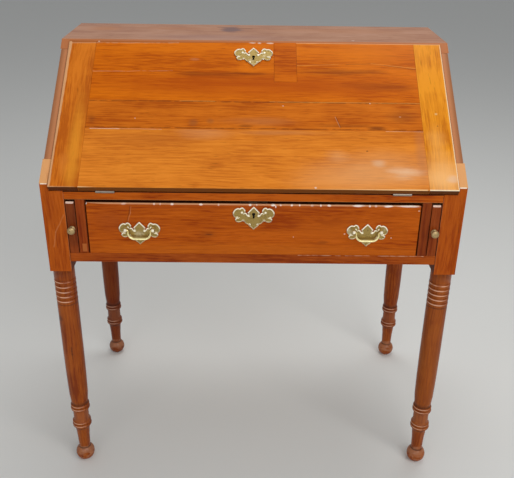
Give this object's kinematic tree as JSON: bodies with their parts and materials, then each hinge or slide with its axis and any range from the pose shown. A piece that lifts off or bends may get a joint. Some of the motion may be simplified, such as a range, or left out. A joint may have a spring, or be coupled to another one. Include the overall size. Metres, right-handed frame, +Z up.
{
  "type": "slant top desk",
  "caption": "Slant top writing desk on turned legs: the lid swings down onto pull-out supports over one long drawer with brass batwing pulls.",
  "frame": {"origin": "on the floor, under the middle of the desk's outline", "axes": "+Z up, +X to the right as seen from the front, the front faces -Y"},
  "size_m": [0.914, 0.544, 1.022],
  "materials": {
    "case_wood": "aged reddish-brown varnish",
    "lid_wood": "glossy orange-brown varnish, worn",
    "lid_end_wood": "glossy yellow-brown varnish",
    "drawer_wood": "glossy reddish-brown varnish",
    "inside_wood": "bare softwood, darkened with age",
    "brass": "aged brass with bright worn rims",
    "iron": "worn iron"
  },
  "bodies": {
    "case": {"leg_front_left": "case_wood", "leg_front_right": "case_wood", "leg_rear_left": "case_wood", "leg_rear_right": "case_wood", "side_panel_left": "case_wood", "side_panel_right": "case_wood", "top_board": "case_wood", "rail_front_upper": "case_wood", "rail_front_lower": "case_wood", "writing_bed": "case_wood", "partition_left": "case_wood", "partition_right": "case_wood", "rail_rear": "inside_wood", "back_board_lower": "inside_wood", "back_board_upper": "inside_wood", "runner_left": "inside_wood", "runner_right": "inside_wood", "lid_stop_left": "inside_wood", "lid_stop_right": "inside_wood", "gallery_shelf": "inside_wood", "gallery_divider_1": "inside_wood", "gallery_divider_2": "inside_wood", "gallery_divider_3": "inside_wood", "gallery_divider_4": "inside_wood", "gallery_divider_5": "inside_wood", "hinge_left_case_leaf": "iron", "hinge_right_case_leaf": "iron", "hinge_left_pin": "iron", "hinge_right_pin": "iron"},
    "lid": {"lid_board_lower": "lid_wood", "lid_board_middle": "lid_wood", "lid_board_upper": "lid_wood", "lid_patch": "lid_wood", "lid_end_left": "lid_end_wood", "lid_end_right": "lid_end_wood", "lid_lock_case": "iron", "lid_escutcheon": "brass", "hinge_left_lid_leaf": "iron", "hinge_right_lid_leaf": "iron"},
    "lid_bolt": {"lid_lock_bolt": "iron"},
    "drawer": {"drawer_front": "drawer_wood", "drawer_side_left": "inside_wood", "drawer_side_right": "inside_wood", "drawer_back": "inside_wood", "drawer_bottom": "inside_wood", "drawer_lock_case": "iron", "drawer_escutcheon": "brass", "pull_left_plate": "brass", "pull_left_post_inner": "brass", "pull_left_post_outer": "brass", "pull_right_plate": "brass", "pull_right_post_inner": "brass", "pull_right_post_outer": "brass"},
    "drawer_bolt": {"drawer_lock_bolt": "iron"},
    "bail_left": {"pull_left_bail": "brass"},
    "bail_right": {"pull_right_bail": "brass"},
    "support_left": {"loper_left": "case_wood", "loper_knob_left": "brass"},
    "support_right": {"loper_right": "case_wood", "loper_knob_right": "brass"}
  },
  "joints": [
    {"name": "lid_hinge", "type": "hinge", "parent": "case", "child": "lid", "pos_m": [0, -0.2562, 0.7618], "axis": [1, 0, 0], "range_deg": [0, 142.2]},
    {"name": "drawer_slide", "type": "slide", "parent": "case", "child": "drawer", "axis": [0, -1, 0], "range_m": [0, 0.425]},
    {"name": "support_left_slide", "type": "slide", "parent": "case", "child": "support_left", "axis": [0, -1, 0], "range_m": [0, 0.28]},
    {"name": "support_right_slide", "type": "slide", "parent": "case", "child": "support_right", "axis": [0, -1, 0], "range_m": [0, 0.28]},
    {"name": "bail_left_swing", "type": "hinge", "parent": "drawer", "child": "bail_left", "pos_m": [-0.2495, -0.2648, 0.6751], "axis": [-1, 0, 0], "range_deg": [-8, 95]},
    {"name": "bail_right_swing", "type": "hinge", "parent": "drawer", "child": "bail_right", "pos_m": [0.2495, -0.2648, 0.6751], "axis": [-1, 0, 0], "range_deg": [-8, 95]},
    {"name": "lid_bolt_throw", "type": "slide", "parent": "lid", "child": "lid_bolt", "axis": [0, 0.7902, 0.6128], "range_m": [0, 0.007]},
    {"name": "drawer_bolt_throw", "type": "slide", "parent": "drawer", "child": "drawer_bolt", "axis": [0, 0, 1], "range_m": [0, 0.0098]}
  ]
}
